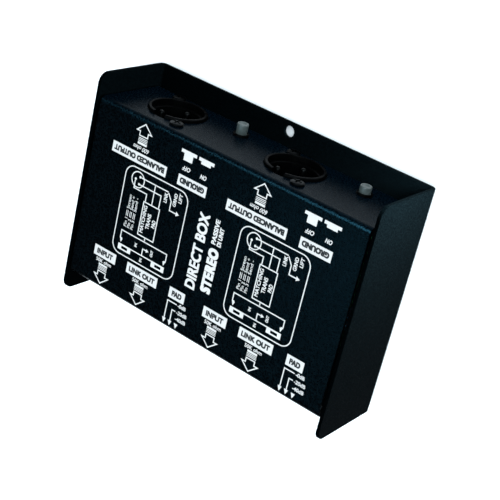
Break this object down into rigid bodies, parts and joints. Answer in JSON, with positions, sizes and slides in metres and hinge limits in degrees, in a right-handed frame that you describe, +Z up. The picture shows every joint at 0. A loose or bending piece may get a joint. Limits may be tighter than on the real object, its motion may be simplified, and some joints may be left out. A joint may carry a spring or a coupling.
{
  "type": "direct injection box",
  "caption": "Passive stereo direct injection box: folded black steel case with printed top, recessed XLR outputs, jack inputs, ground-lift buttons and attenuator slides.",
  "frame": {"origin": "on the standing surface under the middle of the box", "axes": "+X along the long side from channel 1 to channel 2, +Y towards the XLR panel, +Z up through the printed top"},
  "size_m": [0.1336, 0.096, 0.0403],
  "materials": {
    "black_paint": "fine-textured satin powder coat, near black with a cool cast",
    "black_plastic": "satin moulded nylon",
    "black_screw": "black oxide steel",
    "grey_plastic": "light grey moulded plastic, slightly glossy",
    "nickel": "nickel plate",
    "silver_plate": "silver-plated contact",
    "rubber": "matt black rubber",
    "board_green": "green solder mask",
    "steel_core": "stacked silicon-steel laminations",
    "bobbin_plastic": "black moulded bobbin",
    "winding_tape": "amber polyester tape",
    "resistor_body": "lacquered metal-film resistor",
    "white_print": "screen-printed white ink"
  },
  "bodies": {
    "case": {"outer_shell": "black_paint", "top_cover": "black_paint", "foot_1": "rubber", "foot_2": "rubber", "foot_3": "rubber", "foot_4": "rubber", "cover_screw_1": "black_screw", "cover_screw_2": "black_screw", "cover_screw_3": "black_screw", "cover_screw_4": "black_screw", "circuit_board": "board_green", "xlr_housing_1": "black_plastic", "xlr_pin_1_1": "silver_plate", "xlr_pin_1_2": "silver_plate", "xlr_pin_1_3": "silver_plate", "xlr_screw_1_1": "black_screw", "xlr_screw_1_2": "black_screw", "ground_switch_body_1": "black_plastic", "input_jack_body_1": "black_plastic", "input_jack_bush_1": "nickel", "input_jack_washer_1": "nickel", "input_jack_nut_1": "nickel", "parallel_jack_body_1": "black_plastic", "parallel_jack_bush_1": "nickel", "parallel_jack_washer_1": "nickel", "parallel_jack_nut_1": "nickel", "attenuator_switch_body_1": "black_plastic", "transformer_core_1": "steel_core", "transformer_bobbin_1": "bobbin_plastic", "transformer_winding_1": "winding_tape", "pad_resistor_1_1": "resistor_body", "pad_resistor_1_2": "resistor_body", "xlr_housing_2": "black_plastic", "xlr_pin_2_1": "silver_plate", "xlr_pin_2_2": "silver_plate", "xlr_pin_2_3": "silver_plate", "xlr_screw_2_1": "black_screw", "xlr_screw_2_2": "black_screw", "ground_switch_body_2": "black_plastic", "input_jack_body_2": "black_plastic", "input_jack_bush_2": "nickel", "input_jack_washer_2": "nickel", "input_jack_nut_2": "nickel", "parallel_jack_body_2": "black_plastic", "parallel_jack_bush_2": "nickel", "parallel_jack_washer_2": "nickel", "parallel_jack_nut_2": "nickel", "attenuator_switch_body_2": "black_plastic", "transformer_core_2": "steel_core", "transformer_bobbin_2": "bobbin_plastic", "transformer_winding_2": "winding_tape", "pad_resistor_2_1": "resistor_body", "pad_resistor_2_2": "resistor_body"},
    "ground_button_1": {"ground_plunger_1": "black_plastic", "ground_button_1": "grey_plastic"},
    "attenuator_lever_1": {"attenuator_lever_1": "black_plastic"},
    "ground_button_2": {"ground_plunger_2": "black_plastic", "ground_button_2": "grey_plastic"},
    "attenuator_lever_2": {"attenuator_lever_2": "black_plastic"}
  },
  "joints": [
    {"name": "ground_button_1_press", "type": "slide", "parent": "case", "child": "ground_button_1", "axis": [0, -1, 0], "range_m": [0, 0.0019]},
    {"name": "ground_button_2_press", "type": "slide", "parent": "case", "child": "ground_button_2", "axis": [0, -1, 0], "range_m": [-0.0014, 0.0005]},
    {"name": "attenuator_1_slide", "type": "slide", "parent": "case", "child": "attenuator_lever_1", "axis": [1, 0, 0], "range_m": [0, 0.006]},
    {"name": "attenuator_2_slide", "type": "slide", "parent": "case", "child": "attenuator_lever_2", "axis": [1, 0, 0], "range_m": [0, 0.006]}
  ]
}
